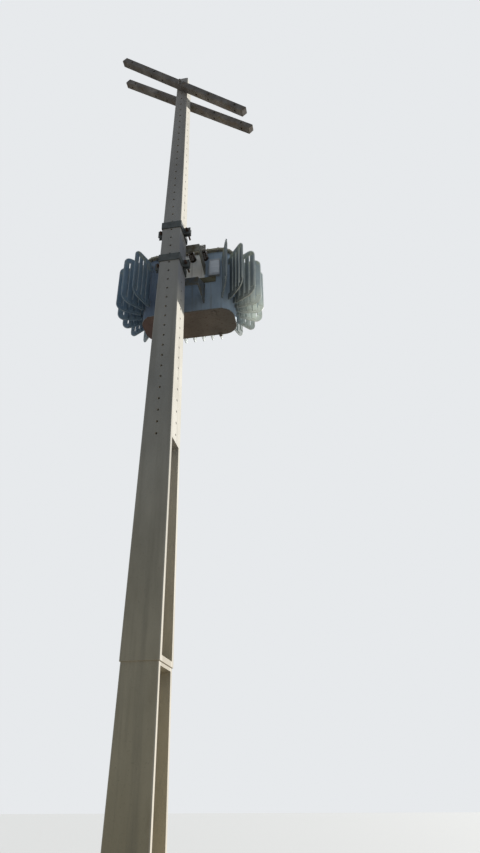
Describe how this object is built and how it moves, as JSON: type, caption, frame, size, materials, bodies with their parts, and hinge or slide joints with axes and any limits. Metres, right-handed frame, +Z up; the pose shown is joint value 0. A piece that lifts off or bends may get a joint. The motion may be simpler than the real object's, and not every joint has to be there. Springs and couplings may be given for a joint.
{
  "type": "pole mounted transformer",
  "caption": "Recessed concrete utility pole with two tilted crossarms and an oil-filled transformer with fanned cooling fins hung behind it on clamp bands.",
  "frame": {"origin": "centre of the pole at ground level", "axes": "+Z up the pole, +X to the right along the smooth front face, +Y from the front face back to the transformer"},
  "size_m": [1.4544, 1.1795, 8.873],
  "materials": {
    "concrete": "bare cast concrete",
    "arm_concrete": "weathered concrete",
    "zinc_steel": "dull galvanised",
    "band_steel": "dark weathered galvanised",
    "rusty_steel": "rusted",
    "hanger_steel": "dark weathered steel",
    "terminal_metal": "tinned",
    "bar_paint": "brown stained paint",
    "tank_paint": "light grey paint",
    "fin_paint": "light grey paint",
    "rusty_base": "brown primer and rust",
    "brown_porcelain": "glazed",
    "holder_sheet": "bare sheet"
  },
  "bodies": {
    "root": {"pole": "concrete", "crossarm_front": "arm_concrete", "crossarm_back": "arm_concrete", "arm_bolt": "zinc_steel", "lower_band_front": "band_steel", "lower_band_back": "band_steel", "lower_band_bolts": "rusty_steel", "lower_hanger": "hanger_steel", "upper_band_front": "band_steel", "upper_band_back": "band_steel", "upper_band_bolts": "rusty_steel", "upper_hanger": "hanger_steel", "tank_base": "rusty_base", "tank_body": "tank_paint", "tank_lid": "tank_paint", "lv_bushings": "brown_porcelain", "hv_bushing_1": "brown_porcelain", "hv_bushing_2": "brown_porcelain", "hv_bushing_3": "brown_porcelain", "lv_terminals": "terminal_metal", "plate_holder": "holder_sheet", "lifting_lugs": "tank_paint", "wall_bar": "bar_paint", "fin_left_1": "fin_paint", "fin_left_2": "fin_paint", "fin_left_3": "fin_paint", "fin_left_4": "fin_paint", "fin_left_5": "fin_paint", "fin_left_6": "fin_paint", "fin_left_7": "fin_paint", "fin_left_8": "fin_paint", "fin_right_1": "fin_paint", "fin_right_2": "fin_paint", "fin_right_3": "fin_paint", "fin_right_4": "fin_paint", "fin_right_5": "fin_paint", "fin_right_6": "fin_paint", "fin_right_7": "fin_paint", "fin_right_8": "fin_paint", "fin_back_1": "fin_paint", "fin_back_2": "fin_paint", "fin_back_3": "fin_paint", "fin_back_4": "fin_paint", "fin_back_5": "fin_paint", "fin_back_6": "fin_paint"}
  },
  "joints": []
}
